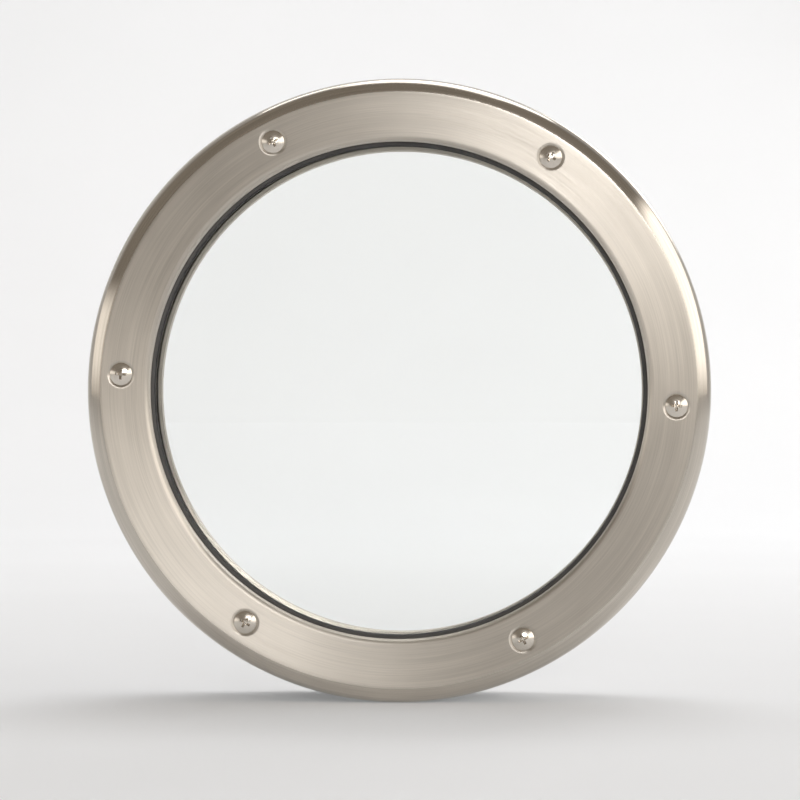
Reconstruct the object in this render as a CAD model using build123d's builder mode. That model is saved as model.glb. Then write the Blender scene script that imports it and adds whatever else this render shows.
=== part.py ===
import os
from math import cos, radians, sin, tan

from build123d import *

# Round porthole window for a door leaf. Two pressed steel rings, one on each face of the
# leaf, are pulled together by six screws that run into sleeve nuts inside the cut-out.
# Between the rings' lips they clamp the pane, its two gaskets and the liner tube.
#
# Millimetres. The origin is on the porthole's axis, in the plane of the leaf's front face.
# +Z is up, +Y runs through the leaf from front to rear, +X is to the right from the front.

# Door leaf. Its round cut-out ends between the sleeve nuts and the rim seals
leaf_thickness = 40.0

# Pressed rings: one skin of sheet, folded back at the rim and at the lip
ring_outer_radius = 130.0
sheet = 1.5
rim_inside_bend = 6.0  # the wide round shoulder at the outer edge
rim_straight = 0.5  # straight end of the rim, which stands on the leaf
lip_inside_bend = 0.5  # the tight edge round the opening
dimple_inside_bend = 0.3
rim_land = 0.8  # flat left between a dimple and the shoulder

# Screws and sleeve nuts, M5, with raised countersunk heads
screw_count = 6
first_screw_angle = -3.3  # degrees, anticlockwise from +X as seen from the front
screw_radius = 2.5
screw_length = 25.0  # under the edge of the head
screw_seat_width = 2.15  # from the shank to the edge of the head
sleeve_wall = 0.95
sleeve_seat_width = 1.5
sleeve_setback = 2.0  # from the leaf's front face to the sleeve's open end
thread_play = 0.05
thread_spare = 3.0  # tapped depth past the tip of the screw
hole_play = 0.25
tip_chamfer = 0.5
head_sink = 0.6  # edge of the head below the face of the ring
head_rise = 1.0  # crown of the head above its edge
head_edge = 0.25  # height of the edge
seat_play = 0.03
recess_length = 4.8
recess_width = 1.1
recess_depth = 2.0
recess_taper = 8.0  # degrees

# Pane, gaskets, liner and rim seals
pane_thickness = 6.0
pane_arris = 0.5
pane_to_sleeve = 3.65
pane_margin = 0.9  # pane past the liner's wall
gasket_thickness = 2.0
gasket_show = 1.4  # rubber that shows inside the lip
liner_wall = 1.5
liner_play = 0.1
seal_play = 0.15

# Outside bends of the sheet, and the height of the ring's face over the leaf
rim_bend = rim_inside_bend + sheet
lip_bend = lip_inside_bend + sheet
dimple_bend = dimple_inside_bend + sheet
face_height = rim_bend + rim_straight

# Radii about a screw's axis. The seat is a 90 degree countersink
sleeve_radius = screw_radius + thread_play + sleeve_wall
screw_head_radius = screw_radius + screw_seat_width
sleeve_head_radius = sleeve_radius + sleeve_seat_width
dimple_tangent = dimple_bend * tan(radians(45 / 2))
head_edge_height = face_height - head_sink + seat_play
crown_height = head_edge_height + head_edge + head_rise

# Radii about the porthole's axis, from the rim inwards
seal_outer_radius = ring_outer_radius - sheet - seal_play
seal_inner_radius = ring_outer_radius - rim_bend - rim_land + seal_play
dimple_reach = sleeve_head_radius + head_sink + dimple_tangent
screw_circle_radius = ring_outer_radius - rim_bend - rim_land - dimple_reach
pane_radius = screw_circle_radius - sleeve_radius - pane_to_sleeve
liner_outer_radius = pane_radius - pane_margin
liner_inner_radius = liner_outer_radius - liner_wall
clear_radius = liner_inner_radius - liner_play - lip_bend
gasket_inner_radius = clear_radius - gasket_show

# Each face of the leaf as a plane whose z axis points out of the leaf
front_face = Plane(origin=(0, 0, 0), x_dir=(1, 0, 0), z_dir=(0, -1, 0))
rear_face = Plane(origin=(0, leaf_thickness, 0), x_dir=(1, 0, 0), z_dir=(0, 1, 0))


def section_plane(face):
    """Plane of a half section: x is the radius, y the height out of the leaf."""
    return Plane(origin=face.origin, x_dir=face.x_dir, z_dir=-face.y_dir)


def screw_planes(face):
    """A plane for each screw, centred on its axis in the leaf's face, z out of the leaf."""
    planes = []
    for index in range(screw_count):
        angle = radians(first_screw_angle + index * 360 / screw_count)
        outwards = Vector(cos(angle), 0, sin(angle))
        centre = face.origin + outwards * screw_circle_radius
        planes.append(Plane(origin=centre, x_dir=outwards, z_dir=face.z_dir))
    return planes


def axis_of(plane):
    return Axis(plane.origin, plane.z_dir)


def dimple_edge(head_radius):
    """Radius at which a dimple, with a little flat round it, joins the ring's face."""
    return head_radius + head_sink + dimple_tangent + rim_land / 2


def dimple(head_radius, hole_radius):
    """Dimple pressed into the ring for a countersunk head, as a solid about Z."""
    seat_mouth = head_radius + head_sink
    with BuildPart() as pressed:
        with BuildSketch(Plane.XZ):
            with BuildLine():
                FilletPolyline(
                    (dimple_edge(head_radius), face_height),
                    (seat_mouth, face_height),
                    (hole_radius, face_height - seat_mouth + hole_radius),
                    radius=dimple_bend,
                )
                offset(amount=sheet, side=Side.LEFT)
            make_face()
        revolve(axis=Axis.Z)
    return pressed.part


def headed_section(head_radius, neck_radius, tip_height):
    """Half section of a raised countersunk head on a shank of the neck's radius."""
    with BuildSketch() as section:
        with BuildLine():
            crown = (0, crown_height)
            brow = (head_radius, head_edge_height + head_edge)
            edge = (head_radius, head_edge_height)
            neck = (neck_radius, head_edge_height - head_radius + neck_radius)
            tip = (neck_radius, tip_height)
            RadiusArc(crown, brow, (head_radius**2 + head_rise**2) / (2 * head_rise))
            Polyline(brow, edge, neck, tip, (0, tip_height), crown)
        make_face()
        chamfer(section.vertices().group_by(Axis.Y)[0].sort_by(Axis.X)[-1], tip_chamfer)
    return section.sketch


def finish(part, name):
    part.label = name
    export_step(part, f"parts/{name}.step")


os.makedirs("parts", exist_ok=True)

# Rings: the same pressing on both faces of the leaf, pierced for what passes through it
for name, face, head_radius, shank_radius in (
    ("front_ring", front_face, screw_head_radius, screw_radius),
    ("rear_ring", rear_face, sleeve_head_radius, sleeve_radius),
):
    with BuildPart() as ring:
        with BuildSketch(section_plane(face)):
            with BuildLine():
                FilletPolyline(
                    (ring_outer_radius, 0),
                    (ring_outer_radius, face_height),
                    (clear_radius, face_height),
                    (clear_radius, 0),
                    radius=[rim_bend, lip_bend],
                )
                offset(amount=sheet, side=Side.LEFT)
            make_face()
        revolve(axis=axis_of(face))
        top_down = (Align.CENTER, Align.CENTER, Align.MAX)
        with Locations(*[place.offset(face_height) for place in screw_planes(face)]):
            Cylinder(dimple_edge(head_radius), sheet, align=top_down, mode=Mode.SUBTRACT)
        with Locations(*screw_planes(face)):
            add(dimple(head_radius, shank_radius + hole_play))
    finish(ring.part, name)

# Rim seals: foam that fills the hollow of each shoulder and lies on the leaf
for name, face in (("front_rim_seal", front_face), ("rear_rim_seal", rear_face)):
    with BuildPart() as seal:
        with BuildSketch(section_plane(face)) as section:
            with Locations((seal_inner_radius, 0)):
                width = seal_outer_radius - seal_inner_radius
                height = face_height - sheet - seal_play
                Rectangle(width, height, align=(Align.MIN, Align.MIN))
            shoulder = section.vertices().group_by(Axis.X)[-1].sort_by(Axis.Y)[-1]
            fillet(shoulder, rim_inside_bend - seal_play)
        revolve(axis=axis_of(face))
    finish(seal.part, name)

# Gaskets: flat rubber rings on both sides of the pane, with a rounded inner edge
pane_front = gasket_thickness
pane_rear = pane_front + pane_thickness
for name, start in (("front_gasket", 0.0), ("rear_gasket", pane_rear)):
    with BuildPart() as gasket:
        with BuildSketch(Plane.XZ.offset(-start)):
            Circle(pane_radius)
            Circle(gasket_inner_radius, mode=Mode.SUBTRACT)
        extrude(amount=-gasket_thickness)
        inner_edges = gasket.edges().filter_by(GeomType.CIRCLE).sort_by(SortBy.RADIUS)[:2]
        fillet(inner_edges, 0.45 * gasket_thickness)
    finish(gasket.part, name)

# Pane: clear glass with ground edges
with BuildPart() as pane:
    with BuildSketch(Plane.XZ.offset(-pane_front)):
        Circle(pane_radius)
    extrude(amount=-pane_thickness)
    chamfer(pane.edges().filter_by(GeomType.CIRCLE), pane_arris)
finish(pane.part, "glass_pane")

# Liner: a tube round the rear ring's lip, between the rear gasket and the ring's flat back
liner_front = pane_rear + gasket_thickness
liner_length = leaf_thickness + face_height - sheet - liner_front
with BuildPart() as liner:
    with BuildSketch(Plane.XZ.offset(-liner_front)):
        Circle(liner_outer_radius)
        Circle(liner_inner_radius, mode=Mode.SUBTRACT)
    extrude(amount=-liner_length)
finish(liner.part, "liner_tube")

# Cross recess of a head, about Z
with BuildPart() as recess:
    with BuildSketch(Plane.XY.offset(crown_height)):
        Rectangle(recess_length, recess_width)
        Rectangle(recess_width, recess_length)
    extrude(amount=-recess_depth, taper=recess_taper)

# Screws, from the front
screw_tip = head_edge_height - screw_length
for number, place in enumerate(screw_planes(front_face), start=1):
    with BuildPart() as screw:
        with BuildSketch(section_plane(place)):
            add(headed_section(screw_head_radius, screw_radius, screw_tip))
        revolve(axis=axis_of(place))
        with Locations(place):
            add(recess.part, mode=Mode.SUBTRACT)
    finish(screw.part, f"screw_{number}")

# Sleeve nuts, from the rear: the barrel is open and tapped towards the screw
sleeve_tip = sleeve_setback - leaf_thickness
bore_depth = thread_spare - screw_tip - sleeve_setback
for number, place in enumerate(screw_planes(rear_face), start=1):
    with BuildPart() as sleeve:
        with BuildSketch(section_plane(place)):
            add(headed_section(sleeve_head_radius, sleeve_radius, sleeve_tip))
        revolve(axis=axis_of(place))
        with BuildSketch(place.offset(sleeve_tip)):
            Circle(screw_radius + thread_play)
        extrude(amount=bore_depth, mode=Mode.SUBTRACT)
        with Locations(place):
            add(recess.part, mode=Mode.SUBTRACT)
    finish(sleeve.part, f"sleeve_nut_{number}")
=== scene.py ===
from math import asin, atan2, cos, degrees, pi, radians, sin, tan

import bmesh
import bpy
from mathutils import Matrix, Vector


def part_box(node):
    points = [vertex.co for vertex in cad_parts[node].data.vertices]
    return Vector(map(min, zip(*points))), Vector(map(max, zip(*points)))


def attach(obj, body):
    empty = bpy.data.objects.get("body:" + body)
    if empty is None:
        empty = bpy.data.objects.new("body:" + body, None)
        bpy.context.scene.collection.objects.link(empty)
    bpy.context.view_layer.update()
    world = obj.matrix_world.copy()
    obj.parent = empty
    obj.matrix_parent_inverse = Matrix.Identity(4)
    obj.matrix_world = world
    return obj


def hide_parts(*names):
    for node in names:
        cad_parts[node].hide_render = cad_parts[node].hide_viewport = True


# Round porthole window for a door leaf, in metres. The origin is on the porthole's axis, in
# the plane of the leaf's front face. +Y runs through the leaf to its rear, +Z is up.

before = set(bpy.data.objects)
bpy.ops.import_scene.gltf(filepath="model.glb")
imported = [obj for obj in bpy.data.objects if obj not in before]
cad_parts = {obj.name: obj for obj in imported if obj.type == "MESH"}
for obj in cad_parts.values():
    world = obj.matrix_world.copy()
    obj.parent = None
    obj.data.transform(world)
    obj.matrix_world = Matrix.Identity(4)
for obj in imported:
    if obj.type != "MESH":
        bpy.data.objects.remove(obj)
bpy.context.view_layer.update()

MM = 0.001
crisp_edge = radians(28)  # edges sharper than this stay crisp in smooth shading

# Sizes read from the frame
front_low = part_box("front_ring")[0]
rear_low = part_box("rear_ring")[0]
pane_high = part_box("glass_pane")[1]
screw_low, screw_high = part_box("screw_1")
sleeve_low, sleeve_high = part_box("sleeve_nut_1")
ring_radius = -front_low.x
face_height = -front_low.y
leaf_thickness = rear_low.y
leaf_middle = leaf_thickness / 2
pane_radius = pane_high.x
screw_head_radius = (screw_high.z - screw_low.z) / 2
sleeve_head_radius = (sleeve_high.z - sleeve_low.z) / 2
screw_count = 6
front_screws = [f"screw_{number}" for number in range(1, screw_count + 1)]
rear_sleeves = [f"sleeve_nut_{number}" for number in range(1, screw_count + 1)]

# Pressed rings: one skin of sheet, with bends that are measured on its outside
sheet = 1.5 * MM
rim_bend = 7.5 * MM
lip_bend = 2.0 * MM
dimple_bend = 1.8 * MM
lip_radius = 103.7 * MM
head_sink = 0.6 * MM  # edge of a screw's head below the face of the ring
hole_play = 0.25 * MM
flat_outer_radius = ring_radius - rim_bend
flat_inner_radius = lip_radius + lip_bend
flat_strip = 0.3 * MM  # strip of flat beside each bend, so that the bend's shading ends there
ring_segments = 240
dimple_segments = 48
shoulder_steps = 14
lip_steps = 8
dimple_steps = 5
same_place = 0.01 * MM  # points nearer than this lie in one plane

# Screws and sleeve nuts, M5
thread_radius = 2.5 * MM
thread_pitch = 0.8 * MM
thread_depth = 0.6 * MM
thread_steps = 28
thread_run_out = 1.25 * thread_pitch  # plain shank between the seat and the thread
thread_spare = 3.0 * MM  # tapped depth past the tip of the screw
bore_radius = thread_radius - 0.4 * MM
bore_countersink = thread_radius + 0.45 * MM
barrel_radius = 3.5 * MM
mouth_chamfer = 0.35 * MM
tip_chamfer = 0.5 * MM
head_edge = 0.25 * MM
brow = 0.06 * MM  # height that the head's edge loses where it rounds into the crown
crown_rise = 1.0 * MM
crown_start = 0.90  # the crown's arc, as shares of the way from its middle to the head's edge
crown_stop = 0.08
crown_steps = 8
recess_length = 4.6 * MM
recess_width = 1.05 * MM
recess_walls = (1.10 * MM, 0.86)  # depth of the recess's walls, and the share of width left
recess_point = (0.86 * MM, 0.45)  # the same of the point under them
fastener_segments = 56
overcut = 0.4 * MM  # how far a cutter stands out of what it cuts
cutter_margin = 0.05 * MM  # keeps a cutter's corners off the faces and the axis of its piece

# Camera, at the photograph's viewing angle: level, a little to the right of the axis
camera_place = Vector((0.038, -1.13, -0.010))
camera_target = Vector((0.0, 0.020, -0.004))
camera_data = bpy.data.cameras.new("camera")
camera_data.lens = 122
camera = bpy.data.objects.new("camera", camera_data)
camera.location = camera_place
camera.rotation_euler = (camera_target - camera_place).to_track_quat("-Z", "Y").to_euler()
bpy.context.scene.collection.objects.link(camera)
bpy.context.scene.camera = camera


# Materials


def linear(hex_colour):
    """Linear RGBA of an sRGB colour written as #RRGGBB."""
    channels = [int(hex_colour[place : place + 2], 16) / 255 for place in (1, 3, 5)]
    return [c / 12.92 if c <= 0.04045 else ((c + 0.055) / 1.055) ** 2.4 for c in channels] + [1.0]


def add_node(owner, kind, inputs=None, output=0, **settings):
    """Adds a node to a material or a world and returns one of its outputs.

    Its inputs are given by name or by number, each with a value, or with the output of
    another node as a link. A Map Range node's input 0 is its value, 1 and 2 are the ends of
    the range that it maps from, and 3 and 4 those of the range that it maps to, which is 0
    to 1 where they aren't given. A Mix node's colours are inputs 6 and 7, and output 2.
    """
    node = owner.node_tree.nodes.new("ShaderNode" + kind)
    for name, value in settings.items():
        setattr(node, name, value)
    for name, value in (inputs or {}).items():
        if isinstance(value, bpy.types.NodeSocket):
            owner.node_tree.links.new(value, node.inputs[name])
        else:
            node.inputs[name].default_value = value
    return node.outputs[output] if len(node.outputs) else None


def new_material(name):
    """An empty node material, and the surface point in the piece's own coordinates."""
    material = bpy.data.materials.new(name)
    material.use_nodes = True
    material.node_tree.nodes.clear()
    return material, add_node(material, "TexCoord", output="Object")


def close_material(material, surface):
    """Ends a material with its surface shader, whose inputs are given."""
    shader = add_node(material, "BsdfPrincipled", surface)
    add_node(material, "OutputMaterial", {"Surface": shader})
    return material


def from_axis(material, point):
    """Distance of the surface point from the porthole's axis, and the way out to it."""
    across = add_node(material, "VectorMath", {0: point, 1: (1, 0, 1)}, operation="MULTIPLY")
    radius = add_node(material, "VectorMath", {0: across}, "Value", operation="LENGTH")
    outwards = add_node(material, "VectorMath", {0: across}, operation="NORMALIZE")
    return radius, outwards


def round_lines(material, radius, outwards, width, wander, detail):
    """Noise drawn out to lines round the axis, width metres wide.

    The lines are shorter where wander is larger.
    """
    along = add_node(material, "VectorMath", {0: outwards, "Scale": wander}, operation="SCALE")
    rows = add_node(material, "Math", {0: radius, 1: width}, operation="DIVIDE")
    step = add_node(material, "CombineXYZ", {"Y": rows})
    place = add_node(material, "VectorMath", {0: along, 1: step}, operation="ADD")
    return add_node(material, "TexNoise", {"Vector": place, "Scale": 1.0, "Detail": detail})


def brushed_stainless_steel():
    """Pressed stainless sheet, its face brushed round the ring, its shoulder polished.

    The brushing gives two broad bright lobes, on the side of the light and opposite, and a
    fine grain round the ring. Its lines are 0.05 to 0.2 mm wide and are drawn 0.5 mm wide,
    so that they show. The shoulder is nearly a mirror.
    """
    material, point = new_material("brushed_stainless_steel")
    radius, outwards = from_axis(material, point)
    fine = round_lines(material, radius, outwards, width=0.5 * MM, wander=3.0, detail=4.0)
    broad = round_lines(material, radius, outwards, width=2.5 * MM, wander=1.6, detail=2.0)
    clouds = add_node(material, "TexNoise", {"Vector": point, "Scale": 1 / (30 * MM), "Detail": 2.0})

    # Polished is 1 on the shoulder, and 0 on the flat and the lip
    shoulder = {0: radius, 1: flat_outer_radius + 0.4 * MM, 2: flat_outer_radius + 2.0 * MM}
    polished = add_node(material, "MapRange", shoulder, interpolation_type="SMOOTHSTEP")

    # Brushed is 1 on the outside of the flat face, and 0 inside the pressing
    height = add_node(material, "SeparateXYZ", {"Vector": point}, "Y")
    from_middle = add_node(material, "Math", {0: height, 1: leaf_middle}, operation="SUBTRACT")
    from_middle = add_node(material, "Math", {0: from_middle}, operation="ABSOLUTE")
    face_place = leaf_middle + face_height
    outside = {0: from_middle, 1: face_place - 0.7 * MM, 2: face_place - 0.2 * MM}
    outside = add_node(material, "MapRange", outside)
    unpolished = add_node(material, "Math", {0: 1.0, 1: polished}, operation="SUBTRACT")
    brushed = add_node(material, "Math", {0: outside, 1: unpolished}, operation="MULTIPLY")

    lightness = add_node(material, "MapRange", {0: fine, 1: 0.25, 2: 0.75, 3: 0.88, 4: 1.09})
    for noise, darkest, lightest in ((broad, 0.95, 1.04), (clouds, 0.97, 1.03)):
        share = add_node(material, "MapRange", {0: noise, 1: 0.3, 2: 0.7, 3: darkest, 4: lightest})
        lightness = add_node(material, "Math", {0: lightness, 1: share}, operation="MULTIPLY")
    steel = {"Color": linear("#CAC3B9"), "Value": lightness}

    lines = add_node(material, "MapRange", {0: fine, 1: 0.2, 2: 0.8, 3: -0.07, 4: 0.08})
    lines = add_node(material, "Math", {0: lines, 1: brushed}, operation="MULTIPLY")
    flat_roughness = 0.40
    shoulder_roughness = 0.12
    finish = {0: polished, 1: shoulder_roughness - flat_roughness, 2: flat_roughness}
    roughness = add_node(material, "Math", finish, operation="MULTIPLY_ADD")
    roughness = add_node(material, "Math", {0: roughness, 1: lines}, operation="ADD")

    relief = add_node(material, "Math", {0: brushed, 1: 0.9, 2: 0.1}, operation="MULTIPLY_ADD")
    relief = add_node(material, "Math", {0: fine, 1: relief}, operation="MULTIPLY")
    return close_material(
        material,
        {
            "Base Color": add_node(material, "HueSaturation", steel),
            "Metallic": 1.0,
            "Roughness": roughness,
            "Anisotropic": 0.9,
            "Anisotropic Rotation": 0.25,
            "Tangent": add_node(material, "Tangent", direction_type="RADIAL", axis="Y"),
            "Normal": add_node(material, "Bump", {"Height": relief, "Distance": 0.012 * MM}),
        },
    )


def rolled_stainless_steel():
    """Bright rolled stainless strip, bent to a tube.

    A milky mirror, with faint lines round the tube from the rolls.
    """
    material, point = new_material("rolled_stainless_steel")
    stretched = add_node(material, "Mapping", {"Vector": point, "Scale": (0.05, 1.0, 0.05)})
    lines = {"Vector": stretched, "Scale": 1 / (0.8 * MM), "Detail": 3.0}
    lines = add_node(material, "TexNoise", lines)
    clouds = add_node(material, "TexNoise", {"Vector": point, "Scale": 1 / (18 * MM), "Detail": 2.0})
    lightness = add_node(material, "MapRange", {0: lines, 1: 0.3, 2: 0.7, 3: 0.95, 4: 1.04})
    share = add_node(material, "MapRange", {0: clouds, 1: 0.3, 2: 0.7, 3: 0.96, 4: 1.03})
    lightness = add_node(material, "Math", {0: lightness, 1: share}, operation="MULTIPLY")
    steel = {"Color": linear("#E3DFD8"), "Value": lightness}
    return close_material(
        material,
        {
            "Base Color": add_node(material, "HueSaturation", steel),
            "Metallic": 1.0,
            "Roughness": add_node(material, "MapRange", {0: lines, 1: 0.2, 2: 0.8, 3: 0.16, 4: 0.26}),
            "Anisotropic": 0.35,
            "Anisotropic Rotation": 0.25,
            "Tangent": add_node(material, "Tangent", direction_type="RADIAL", axis="Y"),
            "Normal": add_node(material, "Bump", {"Height": lines, "Distance": 0.005 * MM}),
        },
    )


def cold_formed_stainless_steel():
    """Stainless wire, headed cold and tumbled bright.

    Nearly a mirror, broken up by the shallow dents that the parts give each other in the
    drum. The dents are about 0.3 mm wide and are drawn 0.8 mm wide.
    """
    material, point = new_material("cold_formed_stainless_steel")
    dents = add_node(material, "TexNoise", {"Vector": point, "Scale": 1 / (0.8 * MM), "Detail": 2.0})
    film = add_node(material, "TexNoise", {"Vector": point, "Scale": 1 / (4 * MM), "Detail": 3.0})
    lightness = add_node(material, "MapRange", {0: film, 1: 0.3, 2: 0.7, 3: 0.94, 4: 1.03})
    steel = {"Color": linear("#D8D1C7"), "Value": lightness}
    return close_material(
        material,
        {
            "Base Color": add_node(material, "HueSaturation", steel),
            "Metallic": 1.0,
            "Roughness": add_node(material, "MapRange", {0: film, 1: 0.25, 2: 0.75, 3: 0.14, 4: 0.24}),
            "Normal": add_node(material, "Bump", {"Height": dents, "Distance": 0.010 * MM}),
        },
    )


def toughened_glass():
    """Clear float glass, its edge ground matt.

    The faces are clear with hardly any tint. The ground edge and its arris scatter the light
    and show the glass's own green.
    """
    material, point = new_material("toughened_glass")
    radius = from_axis(material, point)[0]
    ground = {0: radius, 1: pane_radius - 0.60 * MM, 2: pane_radius - 0.45 * MM}
    ground = add_node(material, "MapRange", ground)
    grit = add_node(material, "TexNoise", {"Vector": point, "Scale": 1 / (0.6 * MM)})
    tint = {0: ground, 6: linear("#FAFCFB"), 7: linear("#8FBFAE")}
    frosted = add_node(material, "MapRange", {0: grit, 1: 0.3, 2: 0.7, 3: 0.35, 4: 0.55})
    grain = add_node(material, "Math", {0: grit, 1: ground}, operation="MULTIPLY")
    return close_material(
        material,
        {
            "Base Color": add_node(material, "Mix", tint, 2, data_type="RGBA"),
            "IOR": 1.52,
            "Transmission Weight": 1.0,
            "Roughness": add_node(material, "Math", {0: ground, 1: frosted}, operation="MULTIPLY"),
            "Normal": add_node(material, "Bump", {"Height": grain, "Distance": 0.02 * MM}),
        },
    )


def moulded_rubber():
    """EPDM rubber, moulded black: matt, with a grey bloom and a fine skin."""
    material, point = new_material("moulded_epdm_rubber")
    skin = add_node(material, "TexNoise", {"Vector": point, "Scale": 1 / (0.7 * MM), "Detail": 3.0})
    bloom = add_node(material, "TexNoise", {"Vector": point, "Scale": 1 / (14 * MM), "Detail": 3.0})
    lightness = add_node(material, "MapRange", {0: bloom, 1: 0.3, 2: 0.7, 3: 0.8, 4: 1.35})
    black = {"Color": linear("#4A4948"), "Value": lightness}
    return close_material(
        material,
        {
            "Base Color": add_node(material, "HueSaturation", black),
            "Roughness": add_node(material, "MapRange", {0: bloom, 1: 0.3, 2: 0.7, 3: 0.58, 4: 0.74}),
            "Normal": add_node(material, "Bump", {"Height": skin, "Distance": 0.03 * MM}),
        },
    )


def closed_cell_foam():
    """Closed cell EPDM foam, cut from sheet: dull dark grey, its cut cells show as pits.

    The cells are 0.3 to 0.6 mm wide and are drawn 1 mm wide, so that they show. Painted shade darkens
    each pit, most at its middle, as if it lay in shadow.
    """
    material, point = new_material("closed_cell_epdm_foam")
    cells = add_node(material, "TexVoronoi", {"Vector": point, "Scale": 1 / (1.0 * MM)})
    pit_depth_and_shade = add_node(material, "MapRange", {0: cells, 1: 0.05, 2: 0.55})
    # Painted shade: the foam's colour is darker down in each pit, by the pit's depth
    lightness = add_node(material, "MapRange", {0: pit_depth_and_shade, 1: 0.0, 2: 1.0, 3: 0.6, 4: 1.2})
    grey = {"Color": linear("#3A3A3C"), "Value": lightness}
    return close_material(
        material,
        {
            "Base Color": add_node(material, "HueSaturation", grey),
            "Roughness": 0.92,
            "Normal": add_node(material, "Bump", {"Height": pit_depth_and_shade, "Distance": 0.15 * MM}),
        },
    )


def painted_board(glow):
    """Pale board painted matt, for the floor and the backdrop.

    It looks paler than the lamps make it, by glow, where 1 is white. It glows only where it
    is seen, mirrored or behind glass, and casts no light of its own.
    """
    material, point = new_material("matt_painted_board")
    roll = add_node(material, "TexNoise", {"Vector": point, "Scale": 1 / (300 * MM), "Detail": 2.0})
    lightness = add_node(material, "MapRange", {0: roll, 1: 0.3, 2: 0.7, 3: 0.99, 4: 1.01})
    paint = {"Color": linear("#E3E5E8"), "Value": lightness}
    seen = add_node(material, "LightPath", output="Is Camera Ray")
    for ray in ("Is Glossy Ray", "Is Transmission Ray"):
        other = add_node(material, "LightPath", output=ray)
        seen = add_node(material, "Math", {0: seen, 1: other}, operation="MAXIMUM")
    return close_material(
        material,
        {
            "Base Color": add_node(material, "HueSaturation", paint),
            "Roughness": 0.8,
            "Specular IOR Level": 0.2,
            "Emission Color": linear("#E3E5E8"),
            "Emission Strength": add_node(material, "Math", {0: seen, 1: glow}, operation="MULTIPLY"),
        },
    )


# Modelling helpers


def middle_of(node):
    low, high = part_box(node)
    return (low + high) / 2


def select_where(piece, kind, chosen):
    """In edit mode, selects the vertices, edges or faces for which chosen is true."""
    bpy.ops.mesh.select_mode(type=kind)
    bpy.ops.mesh.select_all(action="DESELECT")
    mesh = bmesh.from_edit_mesh(piece.data)
    for element in {"VERT": mesh.verts, "EDGE": mesh.edges, "FACE": mesh.faces}[kind]:
        if chosen(element):
            element.select_set(True)
    mesh.select_flush_mode()


def select_only(*pieces):
    """In object mode, selects the pieces and makes the first one active."""
    bpy.ops.object.select_all(action="DESELECT")
    for piece in pieces:
        piece.select_set(True)
    bpy.context.view_layer.objects.active = pieces[0]


def face_outwards():
    """In edit mode, turns all the faces outwards and goes back to object mode."""
    bpy.ops.mesh.select_all(action="SELECT")
    bpy.ops.mesh.normals_make_consistent(inside=False)
    bpy.ops.object.mode_set(mode="OBJECT")


def apply_modifier(piece, kind, **settings):
    modifier = piece.modifiers.new(kind.lower(), kind)
    for name, value in settings.items():
        setattr(modifier, name, value)
    select_only(piece)
    bpy.ops.object.modifier_apply(modifier=modifier.name)


def smooth(piece):
    select_only(piece)
    bpy.ops.object.shade_smooth_by_angle(angle=crisp_edge)


def arc(centre, radius, start, end, steps):
    """Points of an arc in the (radius, y) plane, its angles in degrees."""
    angles = [radians(start + (end - start) * step / steps) for step in range(steps + 1)]
    return [(centre[0] + radius * cos(a), centre[1] + radius * sin(a)) for a in angles]


def turned(name, outline, segments=fastener_segments, fill_type="NGON"):
    """A form turned about the Y axis, from the (radius, y) points of its outline.

    It is a solid with a flat at each end, or an open skin where fill_type is NOTHING.
    """
    radius, place = outline[0]
    bpy.ops.object.select_all(action="DESELECT")
    bpy.ops.mesh.primitive_circle_add(
        vertices=segments,
        radius=radius,
        fill_type=fill_type,
        location=(0, place, 0),
        rotation=(pi / 2, 0, 0),
    )
    piece = bpy.context.object
    piece.name = name
    bpy.ops.object.transform_apply()
    bpy.ops.object.mode_set(mode="EDIT")
    bpy.ops.mesh.select_all(action="SELECT")
    for next_radius, next_place in outline[1:]:
        step = (0, next_place - place, 0)
        bpy.ops.mesh.extrude_region_move(TRANSFORM_OT_translate={"value": step})
        share = next_radius / radius
        bpy.ops.transform.resize(value=(share, 1, share), center_override=(0, 0, 0))
        radius, place = next_radius, next_place
    face_outwards()
    return piece


def cut_away(piece, cutter):
    """Cuts a closed cutter out of a piece and deletes the cutter."""
    apply_modifier(piece, "BOOLEAN", operation="DIFFERENCE", solver="EXACT", object=cutter)
    bpy.data.objects.remove(cutter)


def copied(pattern, name, matrix):
    """A copy of a piece, with its own mesh moved by a matrix."""
    copy = bpy.data.objects.new(name, pattern.data.copy())
    copy.data.transform(matrix)
    bpy.context.scene.collection.objects.link(copy)
    return copy


def stand_in(piece, node, material):
    """Shows a piece in place of a CAD node, in its slot's material."""
    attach(piece, "root")
    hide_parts(node)
    piece.data.materials.clear()
    piece.data.materials.append(material)


# Pressed rings


def ring_skins(name, leaf_face, out, head_radius, hole_radius, screws):
    """The outside of a ring apart from its flat: the shoulder, the lip and the dimples."""
    dimple_mouth = head_radius + head_sink
    dimple_bend_start = dimple_mouth + dimple_bend * tan(radians(45 / 2))
    shoulder = [
        (ring_radius, 0),
        *arc((flat_outer_radius, face_height - rim_bend), rim_bend, 0, 90, shoulder_steps),
        (flat_outer_radius - flat_strip, face_height),
    ]
    lip = [
        (lip_radius, 0),
        *arc((flat_inner_radius, face_height - lip_bend), lip_bend, 180, 90, lip_steps),
        (flat_inner_radius + flat_strip, face_height),
    ]
    dimple = [
        (hole_radius, face_height - dimple_mouth + hole_radius),
        *arc((dimple_bend_start, face_height - dimple_bend), dimple_bend, 135, 90, dimple_steps),
        (dimple_bend_start + flat_strip, face_height),
    ]

    def skin(outline, segments):
        points = [(radius, leaf_face + out * height) for radius, height in outline]
        return turned(name, points, segments, "NOTHING")

    skins = [skin(shoulder, ring_segments), skin(lip, ring_segments)]
    dimple_pattern = skin(dimple, dimple_segments)
    for screw in screws:
        middle = middle_of(screw)
        skins.append(copied(dimple_pattern, name, Matrix.Translation((middle.x, 0, middle.z))))
    bpy.data.objects.remove(dimple_pattern)
    return skins


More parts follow.
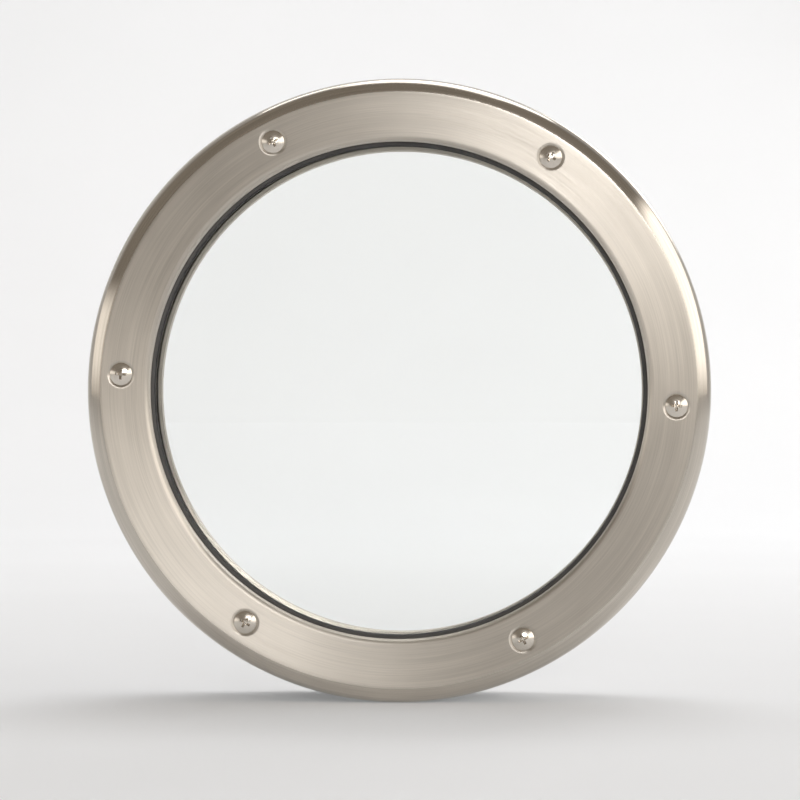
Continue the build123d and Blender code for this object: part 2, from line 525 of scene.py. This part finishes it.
def make_ring(name, leaf_face, out, head_radius, hole_radius, screws):
    """A ring on one face of the leaf, with a dimple at each of its screws.

    leaf_face is the face's place along Y, and out is 1 or -1, the way out of the leaf. The
    outside is modelled as a skin, and the flat between its shoulder, lip and dimples is
    filled. Then the skin gets the thickness of the sheet, inwards.
    """
    select_only(*ring_skins(name, leaf_face, out, head_radius, hole_radius, screws))
    bpy.ops.object.join()
    ring = bpy.context.object
    ring.name = name
    flat_place = leaf_face + out * face_height

    def bounds_flat(edge):
        return edge.is_boundary and all(abs(v.co.y - flat_place) < same_place for v in edge.verts)

    bpy.ops.object.mode_set(mode="EDIT")
    select_where(ring, "EDGE", bounds_flat)
    bpy.ops.mesh.fill()
    face_outwards()
    # An open skin can end up facing either way, and its thickness goes by that
    faces_out = out * sum(face.area * face.normal.y for face in ring.data.polygons) > 0
    apply_modifier(
        ring,
        "SOLIDIFY",
        thickness=sheet,
        offset=-1 if faces_out else 1,
        use_even_offset=True,
        use_quality_normals=True,
    )
    bpy.ops.object.mode_set(mode="EDIT")
    face_outwards()
    smooth(ring)
    return ring


brushed_steel = brushed_stainless_steel()
front_ring = make_ring(
    "pressed_front_ring", 0, -1, screw_head_radius, thread_radius + hole_play, front_screws
)
rear_ring = make_ring(
    "pressed_rear_ring", leaf_thickness, 1, sleeve_head_radius, barrel_radius + hole_play, rear_sleeves
)
stand_in(front_ring, "front_ring", brushed_steel)
stand_in(rear_ring, "rear_ring", brushed_steel)


# Screws and sleeve nuts


def raised_head(head_radius, crown_top):
    """Outline of a raised countersunk head, from the edge of its seat over its crown."""
    crown_radius = (head_radius**2 + crown_rise**2) / (2 * crown_rise)
    reach = degrees(asin(head_radius / crown_radius))
    centre = (0, crown_top + crown_radius)
    start = crown_start * reach - 90
    stop = crown_stop * reach - 90
    crown = arc(centre, crown_radius, start, stop, crown_steps)
    edge = crown_top + crown_rise
    return [(head_radius, edge + head_edge), (head_radius, edge + brow), *crown]


def cross_recess(head_top):
    """Cutter for a cross recess: a tapered cross, pressed in along +Y from the head's top."""
    inner_line = recess_length / 6  # where a grid of three by three has its inner lines
    bpy.ops.object.select_all(action="DESELECT")
    bpy.ops.mesh.primitive_grid_add(
        x_subdivisions=3,
        y_subdivisions=3,
        size=recess_length,
        location=(0, head_top - overcut, 0),
        rotation=(pi / 2, 0, 0),
    )
    cutter = bpy.context.object
    bpy.ops.object.transform_apply()
    bpy.ops.object.mode_set(mode="EDIT")
    squeeze = recess_width / (2 * inner_line)
    select_where(cutter, "VERT", lambda v: abs(v.co.x) < 1.5 * inner_line)
    bpy.ops.transform.resize(value=(squeeze, 1, 1), center_override=(0, 0, 0))
    select_where(cutter, "VERT", lambda v: abs(v.co.z) < 1.5 * inner_line)
    bpy.ops.transform.resize(value=(1, 1, squeeze), center_override=(0, 0, 0))
    corner = recess_width / 2
    select_where(cutter, "FACE", lambda f: min(abs(c) for c in f.calc_center_median().xz) > corner)
    bpy.ops.mesh.delete(type="FACE")
    bpy.ops.mesh.select_all(action="SELECT")
    for depth, taper in ((overcut, 1.0), recess_walls, recess_point):
        bpy.ops.mesh.extrude_region_move(TRANSFORM_OT_translate={"value": (0, depth, 0)})
        bpy.ops.transform.resize(value=(taper, 1, taper), center_override=(0, 0, 0))
    face_outwards()
    return cutter


def thread_tool(start, turns):
    """Cutter of a screw thread: a 60 degree tool on a right-hand helix about the Y axis."""
    tool_height = thread_depth + cutter_margin
    tool_radius = tool_height / 1.5  # of the circle round an even triangle of this height
    bpy.ops.object.select_all(action="DESELECT")
    bpy.ops.mesh.primitive_circle_add(
        vertices=3,
        radius=tool_radius,
        location=(thread_radius - thread_depth + tool_radius, start, 0),
        rotation=(0, 0, pi / 2),
    )
    cutter = bpy.context.object
    bpy.ops.object.transform_apply()
    apply_modifier(
        cutter,
        "SCREW",
        axis="Y",
        steps=thread_steps,
        render_steps=thread_steps,
        iterations=turns,
        angle=-2 * pi,
        screw_offset=thread_pitch,
        use_merge_vertices=False,
    )
    bpy.ops.object.mode_set(mode="EDIT")
    bpy.ops.mesh.select_all(action="SELECT")
    bpy.ops.mesh.fill_holes(sides=3)
    face_outwards()
    return cutter


def make_screw():
    """An M5 screw with a raised countersunk head, modelled about the porthole's axis."""
    crown_top, tip = screw_low.y, screw_high.y
    neck = crown_top + crown_rise + head_edge + screw_head_radius - thread_radius
    outline = [
        (thread_radius - tip_chamfer, tip),
        (thread_radius, tip - tip_chamfer),
        (thread_radius, neck),
        *raised_head(screw_head_radius, crown_top),
    ]
    screw = turned("screw", outline)
    cut_away(screw, cross_recess(crown_top))
    thread_start = neck + thread_run_out
    turns = int((tip - thread_start) / thread_pitch) + 2  # and out past the tip
    cut_away(screw, thread_tool(thread_start, turns))
    smooth(screw)
    return screw


def make_sleeve():
    """A sleeve nut with the same head, bored for the screw, modelled about the axis."""
    crown_top, mouth = sleeve_high.y, sleeve_low.y
    neck = crown_top - crown_rise - head_edge - sleeve_head_radius + barrel_radius
    head = [(radius, -place) for radius, place in raised_head(sleeve_head_radius, -crown_top)]
    outline = [
        (barrel_radius - mouth_chamfer, mouth),
        (barrel_radius, mouth + mouth_chamfer),
        (barrel_radius, neck),
        *head,
    ]
    sleeve = turned("sleeve", outline)
    cone_start = mouth - cutter_margin
    bore_end = screw_high.y + thread_spare
    drill = [
        (bore_countersink, mouth - overcut),
        (bore_countersink, cone_start),
        (bore_radius, cone_start + bore_countersink - bore_radius),
        (bore_radius, bore_end - bore_radius / 2),
        (cutter_margin, bore_end),
    ]
    cut_away(sleeve, turned("drill", drill))
    recess = cross_recess(-crown_top)
    recess.data.transform(Matrix.Rotation(pi, 4, "X"))
    cut_away(sleeve, recess)
    smooth(sleeve)
    return sleeve


def place_fasteners(pattern, base_name, nodes, material):
    """Copies a fastener to each of its nodes, turned with the ring, and removes the pattern."""
    for number, node in enumerate(nodes, start=1):
        middle = middle_of(node)
        turn = Matrix.Rotation(-atan2(middle.z, middle.x), 4, "Y")
        place = Matrix.Translation((middle.x, 0, middle.z)) @ turn
        stand_in(copied(pattern, f"{base_name}_{number}", place), node, material)
    bpy.data.objects.remove(pattern)


bright_steel = cold_formed_stainless_steel()
place_fasteners(make_screw(), "countersunk_screw", front_screws, bright_steel)
place_fasteners(make_sleeve(), "tapped_sleeve", rear_sleeves, bright_steel)


# Pieces that keep their own form


def dress(material, *nodes):
    for node in nodes:
        for material_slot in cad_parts[node].material_slots:
            material_slot.material = material


dress(rolled_stainless_steel(), "liner_tube")
dress(toughened_glass(), "glass_pane")
dress(moulded_rubber(), "front_gasket", "rear_gasket")
dress(closed_cell_foam(), "front_rim_seal", "rear_rim_seal")


# Studio: a pale floor that runs up into a pale backdrop behind the porthole

floor_height = front_low.z
floor_reach = 20.0
backdrop_place = 2.6
backdrop_height = 3.0
cove_bend = 1.0
cove_steps = 16
near_edge = 0.01  # points of the studio nearer than this lie on one edge
floor_glow = 0.16

# The room round the studio, in linear colours, where 1 is white. Each limit of a wall fades
# from none of it to all of it: its side along x, and its top and foot as slopes z / x
background_colour = (0.52, 0.505, 0.485)
room_colour = (0.27, 0.24, 0.205)
wall_colour = (1.0, 0.97, 0.93)
right_wall = {"light": 1.90, "side": (0.28, 0.40), "top": (0.88, 0.70), "foot": (-0.10, 0.16)}
left_wall = {"light": 1.10, "side": (-0.42, -0.60), "top": (-0.40, -0.25), "foot": (0.12, -0.14)}
behind_porthole = (-0.1, 0.3)  # along y, from none of the background mirrored to all of it


def make_studio():
    bpy.ops.object.select_all(action="DESELECT")
    bpy.ops.mesh.primitive_plane_add(
        size=2 * floor_reach, location=(0, backdrop_place - floor_reach, floor_height)
    )
    studio = bpy.context.object
    studio.name = "studio_floor"
    bpy.ops.object.transform_apply()
    bpy.ops.object.mode_set(mode="EDIT")
    far_edge = backdrop_place - near_edge
    select_where(studio, "EDGE", lambda e: all(v.co.y > far_edge for v in e.verts))
    bpy.ops.mesh.extrude_edges_move(TRANSFORM_OT_translate={"value": (0, 0, backdrop_height)})
    corner = Vector((0, backdrop_place, floor_height))
    select_where(studio, "EDGE", lambda e: all((v.co - corner).yz.length < near_edge for v in e.verts))
    bpy.ops.mesh.bevel(offset=cove_bend, segments=cove_steps)
    bpy.ops.object.mode_set(mode="OBJECT")
    smooth(studio)
    studio.data.materials.append(painted_board(floor_glow))


def softbox(name, place, width, height, brightness, target=(0, leaf_middle, 0), spread=pi):
    """A flat lamp that faces the porthole, with a grid on it where its spread is narrower.

    Brightness is its radiance straight ahead, where 1 is white. A narrower spread gathers
    the same power straight ahead, so a lamp with a grid is given less power.
    """
    half_spread = spread / 2
    data = bpy.data.lights.new(name, "AREA")
    data.shape = "RECTANGLE"
    data.size = width
    data.size_y = height
    data.spread = spread
    data.energy = brightness * width * height * pi * (1 - half_spread / tan(half_spread))
    lamp = bpy.data.objects.new(name, data)
    lamp.location = place
    lamp.rotation_euler = (Vector(target) - Vector(place)).to_track_quat("-Z", "Y").to_euler()
    lamp.visible_camera = False
    bpy.context.scene.collection.objects.link(lamp)


def room_light(world, direction):
    """Light of a dim warm room, with a tall pale wall on the right and a low one on the left."""
    x = add_node(world, "SeparateXYZ", {"Vector": direction}, "X")
    z = add_node(world, "SeparateXYZ", {"Vector": direction}, "Z")
    slope = add_node(world, "Math", {0: z, 1: x}, operation="DIVIDE")
    light = room_colour
    for wall in (right_wall, left_wall):
        share = wall["light"]
        for place, limit in ((x, "side"), (slope, "top"), (slope, "foot")):
            inside = {0: place, 1: wall[limit][0], 2: wall[limit][1]}
            inside = add_node(world, "MapRange", inside, interpolation_type="SMOOTHSTEP")
            share = add_node(world, "Math", {0: share, 1: inside}, operation="MULTIPLY")
        lit_wall = add_node(world, "VectorMath", {0: wall_colour, "Scale": share}, operation="SCALE")
        light = add_node(world, "VectorMath", {0: light, 1: lit_wall}, operation="ADD")
    return light


def pale_background(world, direction, light):
    """The light, but a pale background instead of it for the camera and behind glass.

    Metal mirrors the brighter of the two in what lies behind the porthole.
    """
    camera_ray = add_node(world, "LightPath", output="Is Camera Ray")
    glass_ray = add_node(world, "LightPath", output="Is Transmission Ray")
    metal_ray = add_node(world, "LightPath", output="Is Glossy Ray")
    seen = add_node(world, "Math", {0: camera_ray, 1: glass_ray}, operation="MAXIMUM")
    unseen = add_node(world, "Math", {0: 1.0, 1: seen}, operation="SUBTRACT")
    y = add_node(world, "SeparateXYZ", {"Vector": direction}, "Y")
    behind = {0: y, 1: behind_porthole[0], 2: behind_porthole[1]}
    behind = add_node(world, "MapRange", behind, interpolation_type="SMOOTHSTEP")
    mirrored = add_node(world, "Math", {0: metal_ray, 1: behind}, operation="MULTIPLY")
    share = add_node(world, "Math", {0: seen, 1: mirrored}, operation="MAXIMUM")
    pale = add_node(world, "VectorMath", {0: background_colour, "Scale": share}, operation="SCALE")
    light = add_node(world, "VectorMath", {0: light, "Scale": unseen}, operation="SCALE")
    return add_node(world, "VectorMath", {0: light, 1: pale}, operation="MAXIMUM")


def make_world():
    world = bpy.data.worlds.new("studio_walls")
    world.use_nodes = True
    world.node_tree.nodes.clear()
    direction = add_node(world, "TexCoord", output="Generated")
    light = pale_background(world, direction, room_light(world, direction))
    background = add_node(world, "Background", {"Color": light})
    add_node(world, "OutputWorld", {"Surface": background})
    bpy.context.scene.world = world


make_studio()
softbox(
    "key_softbox",
    place=(0.50, -3.80, 0.97),
    width=0.95,
    height=0.75,
    brightness=13.3,
    spread=radians(80),
)
softbox("top_softbox", place=(0.4, 0.9, 3.2), width=2.0, height=1.6, brightness=2.2)
softbox("rear_softbox", place=(1.1, 1.8, 1.2), width=0.9, height=0.9, brightness=3.0)
softbox(
    "backdrop_softbox",
    place=(0, 1.2, 2.3),
    width=2.4,
    height=0.8,
    brightness=2.4,
    target=(0, 2.0, 0),
)
make_world()
bpy.context.scene.view_settings.view_transform = "Standard"
